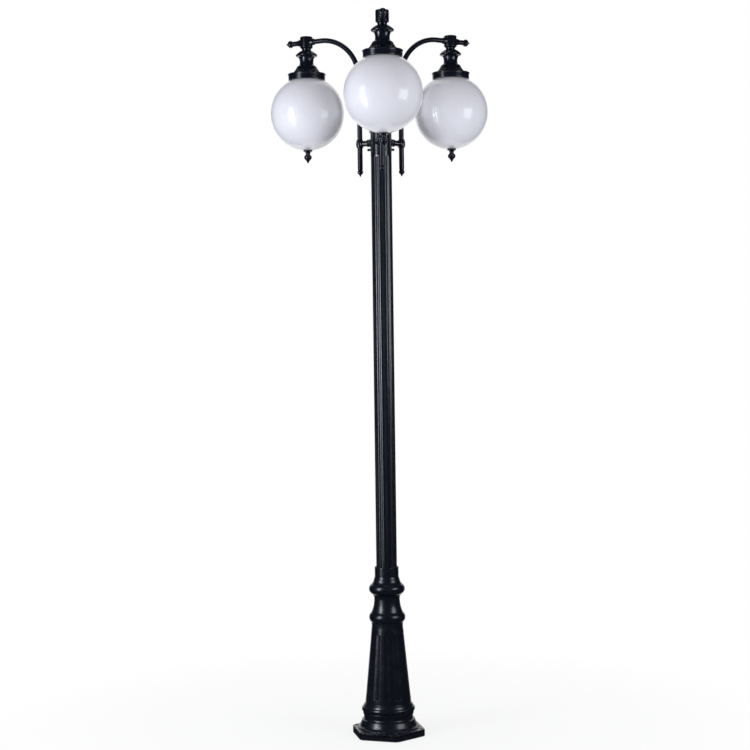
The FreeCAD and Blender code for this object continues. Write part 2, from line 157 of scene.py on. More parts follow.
# The softboxes: name, side, distance from the post, height of the lower and the upper edge, width,
# share of the side's power, and whether gloss shows it.
SOFTBOXES = (
    ("strip left", "left", 2.3, 0.3, 2.6, 0.6, 0.62, True),
    ("core left", "left", 2.25, 0.98, 1.82, 0.6, 0.36, True),
    ("fill left", "left", 2.2, 1.3, 3.0, 1.2, 0.62, False),
    ("core right", "right", 2.7, 1.12, 2.3, 1.25, 0.60, True),
    ("fill back", "back", 3.0, 0.8, 2.8, 1.6, 0.4, False),
    ("fill right", "right", 2.6, 0.9, 2.7, 1.4, 0.75, False),
)

# The black cloth: the radius at which it starts, its lift over the floor, its reach and height, and
# half the arc that it covers.
FLAG_START = 0.001
FLAG_LIFT = 0.002
FLAG_RADIUS = 3.3
FLAG_HEIGHT = 3.4
FLAG_HALF_ARC = math.radians(150)
FLAG_COLUMNS = 60


# ---- settings that a user would change ----

class LampPostPaint(bpy.types.PropertyGroup):
    """The black paint of the castings, the column and the arms."""

    colour: FloatVectorProperty(
        name="Paint", description="Colour of the gloss paint", subtype="COLOR", size=3,
        min=0, max=1, default=(0.0040, 0.0049, 0.0108))
    worn_colour: FloatVectorProperty(
        name="Thin Paint",
        description="Colour where the paint lies thin, on high spots of the casting",
        subtype="COLOR", size=3, min=0, max=1, default=(0.0092, 0.0122, 0.0220))
    dust_colour: FloatVectorProperty(
        name="Dust", description="Colour of the dust that lies in the flutes", subtype="COLOR",
        size=3, min=0, max=1, default=(0.028, 0.031, 0.036))
    roughness: FloatProperty(
        name="Roughness", description="Mean roughness of the paint", min=0, max=1, default=0.19)
    casting_grain: FloatProperty(
        name="Casting Grain", description="Height of the waves of the cast surface under the paint",
        unit="LENGTH", min=0, default=0.0011)
    peel: FloatProperty(
        name="Peel", description="Height of the fine ripple of the paint itself",
        unit="LENGTH", min=0, default=0.00006)
    edge: FloatProperty(
        name="Edge", description="Radius to which the paint rounds an edge of the casting",
        unit="LENGTH", min=0, default=0.0022)
    foot_lumps: FloatProperty(
        name="Foot Lumps", description="Height of the lumps on the rough edge of the foot",
        unit="LENGTH", min=0, default=0.006)
    gloss: FloatProperty(
        name="Gloss", description="Specular level of the paint", min=0, max=1, default=0.8)


class LampPostGlobes(bpy.types.PropertyGroup):
    """The opal globes and the bulbs inside them."""

    colour: FloatVectorProperty(
        name="Opal", description="Colour of the opal globes", subtype="COLOR", size=3,
        min=0, max=1, default=(0.81, 0.785, 0.825))
    roughness: FloatProperty(
        name="Roughness", description="Roughness of the globes under their gloss",
        min=0, max=1, default=0.36)
    bulb_colour: FloatVectorProperty(
        name="Bulb", description="Colour of the bulb's satin envelope", subtype="COLOR", size=3,
        min=0, max=1, default=(0.86, 0.85, 0.82))
    holder_colour: FloatVectorProperty(
        name="Lampholder", description="Colour of the lampholder and the terminal block",
        subtype="COLOR", size=3, min=0, max=1, default=(0.72, 0.70, 0.64))


class LampPostFittings(bpy.types.PropertyGroup):
    """The screws, nuts and gaskets, the flutes and the lobes of the canopies."""

    zinc_colour: FloatVectorProperty(
        name="Zinc", description="Colour of the plated nuts and nipples", subtype="COLOR", size=3,
        min=0, max=1, default=(0.56, 0.57, 0.60))
    black_colour: FloatVectorProperty(
        name="Blackened Steel", description="Colour of the grub screws", subtype="COLOR", size=3,
        min=0, max=1, default=(0.035, 0.035, 0.04))
    brass_colour: FloatVectorProperty(
        name="Brass", description="Colour of the earth screw", subtype="COLOR", size=3,
        min=0, max=1, default=(0.70, 0.50, 0.22))
    rubber_colour: FloatVectorProperty(
        name="Rubber", description="Colour of the gaskets", subtype="COLOR", size=3,
        min=0, max=1, default=(0.02, 0.02, 0.02))
    flute_depth: FloatProperty(
        name="Flute", description="Depth of the column's flutes", unit="LENGTH",
        min=0, default=0.0020)
    canopy_lobes: IntProperty(
        name="Canopy Lobes", description="Lobes round the skirt of a canopy", min=3, default=20)
    canopy_groove_depth: FloatProperty(
        name="Lobe Groove",
        description="Depth of the grooves between the lobes at the canopy's foot",
        unit="LENGTH", min=0, default=0.0021)


class LampPostStudio(bpy.types.PropertyGroup):
    """The floor, the lamps and the camera."""

    floor_colour: FloatVectorProperty(
        name="Floor", description="Colour of the floor under its own light", subtype="COLOR",
        size=3, min=0, max=1, default=(0.80, 0.80, 0.80))
    camera_place: FloatVectorProperty(
        name="Camera", description="Place of the camera", subtype="TRANSLATION", size=3,
        default=(-0.1617, -5.2633, 1.2946))
    camera_turn: FloatVectorProperty(
        name="Camera Turn", description="Heading, pitch and roll of the camera", subtype="EULER",
        size=3, default=(math.radians(-1.431), math.radians(-1.04), math.radians(-0.761)))
    camera_lens: FloatProperty(
        name="Lens", description="Focal length of the camera in millimetres on a 36 mm sensor",
        min=1, default=75.95)
    lamp_tint: FloatVectorProperty(
        name="Lamp Tint", description="Colour of the softboxes' light", subtype="COLOR", size=3,
        min=0, max=1, default=(0.87, 0.925, 1.0))
    left_power: FloatProperty(
        name="Left Softboxes", description="Power that the softboxes on the left take shares of",
        subtype="POWER", min=0, default=29.0)
    right_power: FloatProperty(
        name="Right Softboxes",
        description="Power that the softboxes on the right and at the back take shares of",
        subtype="POWER", min=0, default=29.0)
    sky_strength: FloatProperty(
        name="Sky", description="Strength of the light that comes from all round",
        min=0, default=0.36)


# ---- shader maths ----

class Number:
    """A number that varies over a surface. + - * / and ** on it add Math nodes."""

    def __init__(self, finish, socket):
        self.finish = finish
        self.socket = socket

    def __add__(self, other):
        return self.finish.math("ADD", self, other)

    def __radd__(self, other):
        return self.finish.math("ADD", other, self)

    def __sub__(self, other):
        return self.finish.math("SUBTRACT", self, other)

    def __rsub__(self, other):
        return self.finish.math("SUBTRACT", other, self)

    def __mul__(self, other):
        return self.finish.math("MULTIPLY", self, other)

    def __rmul__(self, other):
        return self.finish.math("MULTIPLY", other, self)

    def __truediv__(self, other):
        return self.finish.math("DIVIDE", self, other)

    def __pow__(self, other):
        return self.finish.math("POWER", self, other)


class Finish:
    """A material being made: nodes are added by type, with their settings first and then their
    inputs."""

    def __init__(self, name):
        self.material = bpy.data.materials.new(name)
        self.material.use_nodes = True
        self.tree = self.material.node_tree
        self.shader = self.tree.nodes["Principled BSDF"]
        self.place = self.node("ShaderNodeTexCoord", {}, {}).outputs["Object"]

    def node(self, kind, settings, inputs):
        """Adds a node. A ramp's stops are the setting 'stops', a list of places and greys."""
        node = self.tree.nodes.new(kind)
        for name, value in settings.items():
            if name == "stops":
                elements = node.color_ramp.elements
                while len(elements) < len(value):
                    elements.new(0.5)
                for element, (position, grey) in zip(elements, value):
                    element.position = position
                    element.color = (grey, grey, grey, 1)
            else:
                setattr(node, name, value)
        for name, value in inputs.items():
            self.feed(node.inputs[name], value)
        return node

    def feed(self, socket, value):
        """Gives a socket a link or a plain value."""
        if isinstance(value, Number):
            value = value.socket
        if isinstance(value, bpy.types.NodeSocket):
            self.tree.links.new(value, socket)
        elif hasattr(value, "__len__") and len(value) == 3 and socket.type == "RGBA":
            socket.default_value = (*value, 1)
        else:
            socket.default_value = value

    def math(self, operation, first, second):
        """The result of a Math node on two numbers."""
        node = self.node("ShaderNodeMath", {"operation": operation}, {0: first, 1: second})
        return Number(self, node.outputs[0])

    def ramp(self, value, *stops):
        """The value sent through a ramp of greys."""
        node = self.node("ShaderNodeValToRGB", {"stops": stops}, {"Fac": value})
        return Number(self, node.outputs["Color"])

    def stretched(self, scale):
        """The Object coordinates, scaled along each axis."""
        node = self.node("ShaderNodeMapping", {}, {"Vector": self.place, "Scale": scale})
        return node.outputs["Vector"]

    def noise(self, scale, detail=3.0, stretch=(1, 1, 1), roughness=0.5):
        """Noise from 0 to 1. The scale is in waves per metre."""
        node = self.node("ShaderNodeTexNoise", {}, {
            "Vector": self.stretched(stretch), "Scale": scale, "Detail": detail,
            "Roughness": roughness})
        return Number(self, node.outputs["Fac"])

    def height(self):
        """The Z of the Object coordinates, in metres."""
        node = self.node("ShaderNodeSeparateXYZ", {}, {"Vector": self.place})
        return Number(self, node.outputs["Z"])

    def distance(self):
        """The distance from the post's axis, in metres: the root of the sum of X and Y squared."""
        node = self.node("ShaderNodeSeparateXYZ", {}, {"Vector": self.place})
        x, y = (Number(self, node.outputs[axis]) for axis in "XY")
        return (x ** 2 + y ** 2) ** 0.5

    def mix(self, amount, first, second):
        """A colour between two colours."""
        node = self.node("ShaderNodeMix", {"data_type": "RGBA"}, {0: amount, 6: first, 7: second})
        return node.outputs[2]

    def relief(self, height, size, under=None):
        """A Bump node for a height from 0 to 1 that stands for a size in metres."""
        inputs = {"Height": height, "Distance": size, "Strength": 1.0}
        if under is not None:
            inputs["Normal"] = under
        return self.node("ShaderNodeBump", {}, inputs).outputs["Normal"]

    def surface(self, **inputs):
        """Sets the shader's own sockets, named with underscores for spaces, and hands back the
        material."""
        for name, value in inputs.items():
            self.feed(self.shader.inputs[name.replace("_", " ")], value)
        return self.material


# ---- the finishes ----

def gloss_paint(name, paint, grain, draw=(1, 1, 1), wave_scale=26.0, dull=0.0, dusty=None,
                rough_foot=None):
    """Gloss black paint: broad waves of the metal under it, sparse cast pits, a fine peel, and thin
    paint that shows a little greyer on the high spots. draw stretches the waves, dull adds to the
    roughness, dusty builds the mask of where dust lies, and rough_foot the mask of where the
    casting is left lumpy."""
    finish = Finish(name)
    waves = finish.noise(wave_scale, 4.0, draw)
    fine = finish.noise(310.0, 2.0, draw)
    peel = finish.noise(900.0, 2.0)
    smudge = finish.noise(9.0, 3.0)
    pits = finish.ramp(finish.noise(170.0, 2.0, draw), (0.66, 1.0), (0.74, 0.0))
    bevel = finish.node("ShaderNodeBevel", {"samples": 6}, {"Radius": paint.edge})
    ground = finish.relief(waves * 0.85 + fine * 0.07 + pits * 0.08, grain, bevel.outputs["Normal"])
    if rough_foot is not None:
        lumps = finish.noise(95.0, 3.0, (0.6, 0.6, 1.6), 0.6)
        ground = finish.relief(lumps * rough_foot(finish), paint.foot_lumps, ground)
    skin = finish.relief(peel, paint.peel, ground)
    thin = finish.ramp(waves * 0.7 + fine * 0.3, (0.50, 0.0), (0.78, 1.0))
    colour = finish.mix(thin, tuple(paint.colour), tuple(paint.worn_colour))
    rough = paint.roughness + dull - 0.06 + smudge * 0.10 + fine * 0.05
    if dusty is not None:
        patches = finish.ramp(finish.noise(45.0, 4.0, draw), (0.35, 0.15), (0.7, 1.0))
        dust = dusty(finish) * patches
        colour = finish.mix(dust * 0.45, colour, tuple(paint.dust_colour))
        rough = rough + dust * 0.16
    return finish.surface(Base_Color=colour, Roughness=rough, Normal=skin,
                          Specular_IOR_Level=paint.gloss)


def opal(name, globes):
    """Opal plastic: milky and glossy, a trace cooler in clouds, with the faint sag waves of
    blowing."""
    finish = Finish(name)
    cloud = finish.noise(7.0, 3.0)
    sag = finish.noise(11.0, 2.0, (1, 1, 0.5))
    specks = finish.ramp(finish.noise(420.0, 1.0), (0.70, 0.0), (0.80, 1.0))
    deep = tuple(part * shade for part, shade in zip(globes.colour, (0.955, 0.96, 0.975)))
    colour = finish.mix(cloud, deep, tuple(globes.colour))
    colour = finish.mix(specks * 0.06, colour, (0.60, 0.60, 0.64))
    return finish.surface(Base_Color=colour, Roughness=globes.roughness + cloud * 0.05,
                          Normal=finish.relief(sag, OPAL_SAG), Coat_Weight=OPAL_COAT,
                          Coat_Roughness=OPAL_COAT_ROUGHNESS)


def bulb_glass(name, globes, fittings, cap_foot):
    """The bulb: a satin envelope below the height where its plated screw cap begins."""
    finish = Finish(name)
    cap = finish.math("GREATER_THAN", finish.height(), cap_foot)
    scratch = finish.noise(600.0, 2.0, (1, 1, 8))
    cloud = finish.noise(40.0, 2.0)
    plate = finish.mix(scratch, (0.50, 0.50, 0.52), tuple(fittings.zinc_colour))
    satin = finish.mix(cloud * 0.2, tuple(globes.bulb_colour), (0.78, 0.78, 0.76))
    colour = finish.mix(cap, satin, plate)
    rough = cap * (0.25 + scratch * 0.15) + (1 - cap) * (0.32 + cloud * 0.06)
    return finish.surface(Base_Color=colour, Metallic=cap, Roughness=rough,
                          Normal=finish.relief(scratch * cap, 0.00005))


def moulding(name, colour, roughness):
    """Matt moulded plastic or glazed ceramic with a fine grain and soft flow marks."""
    finish = Finish(name)
    grain = finish.noise(1400.0, 2.0)
    flow = finish.noise(60.0, 3.0, (1, 1, 0.4))
    darker = tuple(part * 0.82 for part in colour)
    return finish.surface(Base_Color=finish.mix(flow, darker, tuple(colour)),
                          Roughness=roughness + grain * 0.08, Normal=finish.relief(grain, 0.00006))


def rubber(name, colour):
    """Black rubber with the bloom and the fine pores of a cut gasket."""
    finish = Finish(name)
    pores = finish.noise(1600.0, 3.0)
    bloom = finish.ramp(finish.noise(50.0, 4.0), (0.45, 0.0), (0.75, 1.0))
    grey = tuple(part + 0.05 for part in colour)
    return finish.surface(Base_Color=finish.mix(bloom, tuple(colour), grey),
                          Roughness=0.62 + pores * 0.2, Normal=finish.relief(pores, 0.0001))


def bare_metal(name, colour, roughness):
    """Plated or plain metal with turned rings along its height, fine scratches and dull patches."""
    finish = Finish(name)
    rings = finish.noise(2200.0, 2.0, (0.15, 0.15, 1))
    scratch = finish.noise(800.0, 3.0, (6, 6, 0.6))
    dull = finish.ramp(finish.noise(160.0, 3.0), (0.40, 0.0), (0.70, 1.0))
    darker = tuple(part * 0.75 for part in colour)
    return finish.surface(Base_Color=finish.mix(dull * 0.7 + rings * 0.3, tuple(colour), darker),
                          Metallic=1.0, Roughness=roughness + dull * 0.14 + scratch * 0.06,
                          Normal=finish.relief(rings * 0.6 + scratch * 0.4, 0.00006))


# ---- meshes ----

def grid_mesh(name, *grids, closed_rings=True, capped=False):
    """A mesh from arrays of points, each rows by columns by three and joined row to row. A row is a
    closed ring, or with closed_rings off an open line. capped fills each grid's first and last
    ring."""
    faces = []
    start = 0
    for grid in grids:
        rows, columns = grid.shape[:2]
        index = start + np.arange(rows * columns).reshape(rows, columns)
        start += rows * columns
        if capped:
            faces += [index[0, ::-1].tolist(), index[-1].tolist()]
        if closed_rings:
            index = np.concatenate([index, index[:, :1]], axis=1)
        corners = [index[:-1, :-1], index[:-1, 1:], index[1:, 1:], index[1:, :-1]]
        faces += np.stack(corners, axis=-1).reshape(-1, 4).tolist()
    mesh = bpy.data.meshes.new(name)
    points = np.concatenate([grid.reshape(-1, 3) for grid in grids])
    mesh.from_pydata(points.tolist(), [], faces)
    mesh.polygons.foreach_set("use_smooth", np.ones(len(mesh.polygons), bool))
    mesh.update()
    thing = bpy.data.objects.new(name, mesh)
    bpy.context.scene.collection.objects.link(thing)
    return thing


def turned_grid(name, rings, angle, centre=(0, 0)):
    """A closed surface round an upright axis. Each ring is a radius and a height: numbers, or
    arrays with a row for each ring and, for the radius, a column for each angle. The last ring
    joins the first, and a point is the centre plus its radius times the cosine and sine of its
    angle."""
    radius = np.concatenate([
        np.broadcast_to(np.reshape(r, (np.size(z), -1)), (np.size(z), angle.size))
        for r, z in rings])
    height = np.concatenate([np.reshape(z, -1) for _, z in rings])[:, None] + 0 * angle
    points = np.stack([centre[0] + radius * np.cos(angle), centre[1] + radius * np.sin(angle),
                       height], -1)
    return grid_mesh(name, np.concatenate([points, points[:1]]))


def arc(start, through, end, count):
    """Points on the circle through three points, after the first one. The centre is where the
    upright bisectors of the two chords meet."""
    (ax, ay), (bx, by), (cx, cy) = start, through, end
    double = 2 * (ax * (by - cy) + bx * (cy - ay) + cx * (ay - by))
    a2, b2, c2 = ax * ax + ay * ay, bx * bx + by * by, cx * cx + cy * cy
    centre = np.array([a2 * (by - cy) + b2 * (cy - ay) + c2 * (ay - by),
                       a2 * (cx - bx) + b2 * (ax - cx) + c2 * (bx - ax)]) / double
    angles = [math.atan2(y - centre[1], x - centre[0]) for x, y in (start, through, end)]
    turn = (math.remainder(angles[1] - angles[0], TURN)
            + math.remainder(angles[2] - angles[1], TURN))
    sweep = angles[0] + turn * np.linspace(0, 1, count)[1:]
    radius = math.dist(start, centre)
    return centre + radius * np.stack([np.cos(sweep), np.sin(sweep)], -1)


def outline(start, *steps):
    """The points of an outline of radius and height. A step is a point to go straight to, or two
    points: one that an arc passes through and its end."""
    pieces = [np.array([start], float)]
    for step in steps:
        last = pieces[-1][-1]
        if len(np.shape(step)) == 2:
            length = math.dist(last, step[0]) + math.dist(step[0], step[1])
            count = max(4, math.ceil(length / OUTLINE_SPACING))
            pieces.append(arc(last, step[0], step[1], count))
        else:
            count = max(1, math.ceil(math.dist(last, step) / OUTLINE_SPACING))
            share = np.linspace(0, 1, count + 1)[1:, None]
            pieces.append(last + (np.array(step, float) - last) * share)
    return np.concatenate(pieces)


def socket_screw(place, bearing, radius, length):
    """The points of a level screw with a six-sided socket, from its inner end at a place. A ring's
    point is the place, plus its depth along the bearing, plus its radius across it. In the socket
    that radius is the half width over the cosine of the angle from the nearest flat's middle."""
    angle = np.linspace(0, TURN, SCREW_SIDES, endpoint=False)
    flat = radius * SOCKET_SHARE / np.cos(np.mod(angle, TURN / 6) - TURN / 12)
    whole = np.full(SCREW_SIDES, radius)
    rings = ((whole, 0), (whole, length - radius * SCREW_CHAMFER),
             (whole * (1 - SCREW_CHAMFER), length), (flat, length),
             (flat, length - radius * SOCKET_DEPTH),
             (flat * SOCKET_TIP, length - radius * (SOCKET_DEPTH + SOCKET_POINT)))
    along = np.array([math.cos(bearing), math.sin(bearing), 0])
    across = np.array([-math.sin(bearing), math.cos(bearing), 0])
    up = np.array([0, 0, 1])
    spoke = np.cos(angle)[:, None] * across + np.sin(angle)[:, None] * up
    return np.stack([np.array(place) + along * depth + reach[:, None] * spoke
                     for reach, depth in rings])


# ---- the post's own steps ----

def dress(node, material):
    """Gives a CAD node its material."""
    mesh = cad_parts[node].data
    mesh.materials.clear()
    mesh.materials.append(material)


def dress_all(material, *names):
    """Gives the nodes of these names their material, once for each lamp where they repeat."""
    for name in names:
        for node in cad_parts:
            if node == name or node in [f"{name}_{side}" for side in SIDES]:
                dress(node, material)


def small_casting_paint():
    """The paint that the castings step gave to the small castings, read from the hub's cap."""
    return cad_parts["hub_cap"].data.materials[0]


def lamp_axis(side):
    """The place of a lamp's upright axis, from its globe finial."""
    low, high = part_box(f"globe_finial_{side}")
    return (low.x + high.x) / 2, (low.y + high.y) / 2


class LAMPPOST_OT_castings(bpy.types.Operator):
    """Paints the base, the hub, its cap and the finials"""

    bl_idname = "lamppost.castings"
    bl_label = "Paint Castings"

    def execute(self, context):
        paint = context.scene.lamppost_paint
        large = gloss_paint("cast gloss black", paint, paint.casting_grain, dull=0.06,
                            rough_foot=self.at_foot_edge)
        small = gloss_paint("small cast gloss black", paint, paint.casting_grain * SMALL_CAST_GRAIN,
                            wave_scale=60.0)
        dress("base_casting", large)
        dress_all(small, "bracket_hub", "hub_cap", "arm_lower_finial", "arm_outer_finial",
                  "globe_finial")
        return {"FINISHED"}

    def at_foot_edge(self, finish):
        """The mask of the foot's upper edge: 1 a little below and above its top."""
        return finish.ramp(finish.height() / (2 * FOOT_TOP),
                           (0.30, 0.0), (0.45, 1.0), (0.60, 1.0), (0.75, 0.0))


class LAMPPOST_OT_column(bpy.types.Operator):
    """Makes the fluted column, whose lands are rounded and whose flutes hold a little dust"""

    bl_idname = "lamppost.column"
    bl_label = "Make Column"

    def execute(self, context):
        paint = context.scene.lamppost_paint
        sizes = context.scene.lamppost_fittings
        low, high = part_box("column_shaft")
        radius = (high.x - low.x) / 2

        def in_flutes(finish):
            depth = (radius - finish.distance()) / sizes.flute_depth
            return finish.ramp(depth, (0.25, 0.0), (1.0, 1.0))

        column = self.column(radius, low.z, high.z, sizes)
        column.data.materials.append(gloss_paint(
            "column gloss black", paint, paint.casting_grain * COLUMN_GRAIN, draw=(1, 1, 0.10),
            dusty=in_flutes))
        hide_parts("column_shaft")
        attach(column, "post")
        return {"FINISHED"}

    def column(self, radius, foot, spigot_top, sizes):
        """A tube whose radius is less by half the flute's depth times one plus the cosine of pi
        times the distance from the flute's middle over half the pitch. The distance is along the
        arc, and above the flutes' top it is the root of the sum of the squares of that and the
        rise."""
        shoulder = spigot_top - SPIGOT_LENGTH
        flutes_top = shoulder - PLAIN_TOP
        height = np.concatenate([np.linspace(foot, flutes_top - FLUTE_END_GAP, COLUMN_RINGS),
                                 np.linspace(flutes_top, shoulder, COLUMN_RINGS)])
        angle = np.linspace(0, TURN, COLUMN_FLUTES * FLUTE_COLUMNS, endpoint=False)
        half_turn = math.pi / COLUMN_FLUTES
        half_pitch = math.pi * radius / COLUMN_FLUTES
        aside = (np.mod(angle - COLUMN_TURN + math.pi / 2 + half_turn, TURN / COLUMN_FLUTES)
                 - half_turn) * radius
        away = np.hypot(aside, np.maximum(height - flutes_top, 0)[:, None])
        hollow = sizes.flute_depth / 2 * (1 + np.cos(math.pi * np.minimum(away / half_pitch, 1)))
        rings = [(radius - hollow, height), (SPIGOT_RADIUS, shoulder), (SPIGOT_RADIUS, spigot_top),
                 (COLUMN_BORE, spigot_top), (COLUMN_BORE, foot)]
        return turned_grid("fluted_column", rings, angle)


class LAMPPOST_OT_arms(bpy.types.Operator):
    """Paints the bent tubes of the arms"""

    bl_idname = "lamppost.arms"
    bl_label = "Paint Arms"

    def execute(self, context):
        paint = context.scene.lamppost_paint
        dress_all(gloss_paint("tube gloss black", paint, paint.casting_grain * TUBE_GRAIN), "arm")
        return {"FINISHED"}


class LAMPPOST_OT_canopies(bpy.types.Operator):
    """Makes the cast canopies, whose skirts have raised lobes all round, and the galleries under
    them with their screws"""

    bl_idname = "lamppost.canopies"
    bl_label = "Make Canopies and Galleries"

    def execute(self, context):
        fittings = context.scene.lamppost_fittings
        cast = small_casting_paint()
        steel = bare_metal("grub screw steel", fittings.black_colour, roughness=0.34)
        for side in SIDES:
            middle = lamp_axis(side)
            low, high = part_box(f"canopy_{side}")
            top, foot = high.z + CANOPY_LIFT, low.z + GALLERY_LIFT
            gallery_low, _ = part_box(f"gallery_{side}")
            canopy = self.canopy(side, middle, top, foot, high.z, fittings)
            gallery = self.gallery(side, middle, foot, gallery_low.z)
            screws = self.screws(side, middle)
            made = ((canopy, "canopy", cast, "cast_black"),
                    (gallery, "gallery", cast, "cast_black"),
                    (screws, "gallery_screws", steel, "black_steel"))
            for piece, node, material, slot in made:
                piece.data.materials.append(material)
                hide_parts(f"{node}_{side}")
                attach(piece, f"{side}_head")
        return {"FINISHED"}

    def profile(self, top, foot):
        """The outer outline from the top down: a domed disc, a waisted vase, and a skirt with a
        bead."""
        return outline(
            (0.0150, top), ((0.0266, top - 0.0062), (0.0360, top - 0.0148)),
            ((0.0370, top - 0.0172), (0.0350, top - 0.0206)), (0.0277, top - 0.0232),
            ((0.0235, top - 0.036), (0.0239, top - 0.0454)),
            ((0.0257, top - 0.0496), (0.0301, top - 0.0534)),
            ((0.0327, top - 0.0548), (0.0341, top - 0.0576)), (0.0410, foot + 0.0085),
            (0.0404, foot + 0.0077), ((0.0436, foot + 0.0051), (0.0416, foot + 0.0023)),
            (0.0416, foot))

    def canopy(self, side, middle, top, foot, seat, fittings):
        """A surface of turning, less the grooves between the lobes. The radius at a height and
        angle is the outline's, less the groove's depth times one minus the root of the absolute
        sine of half the lobe's angle. The depth grows from nothing at the waist to all of it near
        the skirt's foot. The neck of the tee stands on the seat, in a hole in the canopy's top."""
        outer = self.profile(top, foot)
        inner = outline((0.0365, foot), ((0.0312, foot + 0.0145), (0.0194, foot + 0.031)),
                        (0.0184, top - 0.023), (0.0135, top - 0.012), (NIPPLE_HOLE, top - 0.012),
                        (NIPPLE_HOLE, seat), (NECK_HOLE, seat), (NECK_HOLE, top))
        angle = np.linspace(0, TURN, fittings.canopy_lobes * LOBE_COLUMNS, endpoint=False)
        lobe = 1 - np.abs(np.sin(angle * fittings.canopy_lobes / 2)) ** 0.5
        waist = top - GROOVE_START
        reach = np.clip((waist - outer[:, 1]) / (waist - foot - GROOVE_FULL), 0, 1) ** GROOVE_GROWTH
        depth = fittings.canopy_groove_depth * reach
        rings = [(outer[::-1, :1] - depth[::-1, None] * lobe, outer[::-1, 1]),
                 (inner[::-1, 0], inner[::-1, 1])]
        return turned_grid(f"gadrooned_canopy_{side}", rings, angle, middle)

    def gallery(self, side, middle, top, foot):
        """A surface of turning: a domed roof, a rounded rim, and a skirt round the globe's neck."""
        roof = foot + GALLERY_DEPTH
        shape = outline(
            (NIPPLE_HOLE, roof), (GALLERY_INSIDE, roof), (GALLERY_INSIDE, foot),
            (GALLERY_SKIRT - 0.0008, foot), (GALLERY_SKIRT, foot + 0.0008),
            (GALLERY_SKIRT + SKIRT_FLARE, top - 0.0078), (GALLERY_RIM - 0.0012, top - 0.0068),
            ((GALLERY_RIM, top - 0.0046), (GALLERY_RIM - 0.002, top - 0.0026)),
            ((0.0530, top - 0.0010), (0.0440, top)), (NIPPLE_HOLE, top))
        angle = np.linspace(0, TURN, GALLERY_SIDES, endpoint=False)
        return turned_grid(f"rimmed_gallery_{side}", [(shape[:, 0], shape[:, 1])], angle, middle)

    def screws(self, side, middle):
        """Three grub screws, a third of a turn apart, from just short of the globe's neck
        outwards."""
        low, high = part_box(f"gallery_screws_{side}")
        level = (low.z + high.z) / 2
        start = GALLERY_SKIRT + SKIRT_FLARE - GALLERY_SCREW_LENGTH
        bearings = math.atan2(middle[1], middle[0]) + TURN / 6 + TURN / 3 * np.arange(3)
        return grid_mesh(f"socket_screws_{side}", *(
            socket_screw((middle[0] + start * math.cos(bearing),
                          middle[1] + start * math.sin(bearing), level),
                         bearing, GALLERY_SCREW_RADIUS, GALLERY_SCREW_LENGTH)
            for bearing in bearings), capped=True)


class LAMPPOST_OT_tees(bpy.types.Operator):
    """Makes the tees that hang the lamps on the arms"""

    bl_idname = "lamppost.tees"
    bl_label = "Make Tees"

    def execute(self, context):
        cast = small_casting_paint()
        for side in SIDES:
            tee = self.tee(side, lamp_axis(side))
            tee.data.materials.append(cast)
            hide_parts(f"tee_hub_{side}")
            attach(tee, f"{side}_head")
        return {"FINISHED"}

    def tee(self, side, middle):
        """A turned barrel, and a second surface of turning along the arm for the two bosses. A
        boss's point is the tee's middle, plus its depth along the arm, plus its radius across the
        arm."""
        low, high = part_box(f"tee_hub_{side}")
        arm_low, arm_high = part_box(f"arm_outer_finial_{side}")
        foot, top = low.z, high.z + TEE_LIFT
        barrel = outline(
            (0.0010, foot), (0.0126, foot), (0.0126, foot + 0.007), (0.0150, foot + 0.0075),
            ((0.0162, foot + 0.0116), (TEE_RADIUS - 0.0018, foot + 0.0144)),
            (TEE_RADIUS, foot + 0.0170), (TEE_RADIUS, top - 0.0036),
            ((TEE_RADIUS - 0.0010, top - 0.0014), (TEE_RADIUS - 0.0040, top - 0.0008)),
            (0.0062, top), (0.0010, top))
        angle = np.linspace(0, TURN, TEE_SIDES, endpoint=False)
        round_barrel = np.stack([middle[0] + barrel[:, :1] * np.cos(angle),
                                 middle[1] + barrel[:, :1] * np.sin(angle),
                                 barrel[:, 1:] + 0 * angle], -1)
        half = outline((0.0124, 0.0), (0.0124, 0.018), ((0.0116, 0.024), (0.0104, BOSS_REACH)))
        boss = np.concatenate([half[::-1] * (1, -1), half[1:]])
        along = np.array([middle[0], middle[1], 0]) / math.hypot(*middle)
        across = np.array([-along[1], along[0], 0])
        up = np.array([0, 0, 1])
        centre = np.array([middle[0], middle[1], (arm_low.z + arm_high.z) / 2])
        spoke = np.cos(angle)[:, None] * across + np.sin(angle)[:, None] * up
        bosses = centre + boss[:, 1:, None] * along + boss[:, :1, None] * spoke
        return grid_mesh(f"bossed_tee_{side}", round_barrel, bosses, capped=True)


class LAMPPOST_OT_globes(bpy.types.Operator):
    """Makes the globes opal"""

    bl_idname = "lamppost.globes"
    bl_label = "Finish Globes"

    def execute(self, context):
        dress_all(opal("opal", context.scene.lamppost_globes), "globe")
        return {"FINISHED"}


class LAMPPOST_OT_lamp_insides(bpy.types.Operator):
    """Finishes the bulbs, the lampholders and the gaskets"""

    bl_idname = "lamppost.lamp_insides"
    bl_label = "Finish Lamp Insides"

    def execute(self, context):
        globes = context.scene.lamppost_globes
        fittings = context.scene.lamppost_fittings
        _, bulb_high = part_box("bulb_front")
        dress_all(bulb_glass("bulb", globes, fittings, bulb_high.z - BULB_CAP), "bulb")
        dress_all(moulding("lampholder", globes.holder_colour, roughness=0.30), "lampholder")
        dress_all(rubber("gasket rubber", fittings.rubber_colour), "gasket")
        return {"FINISHED"}


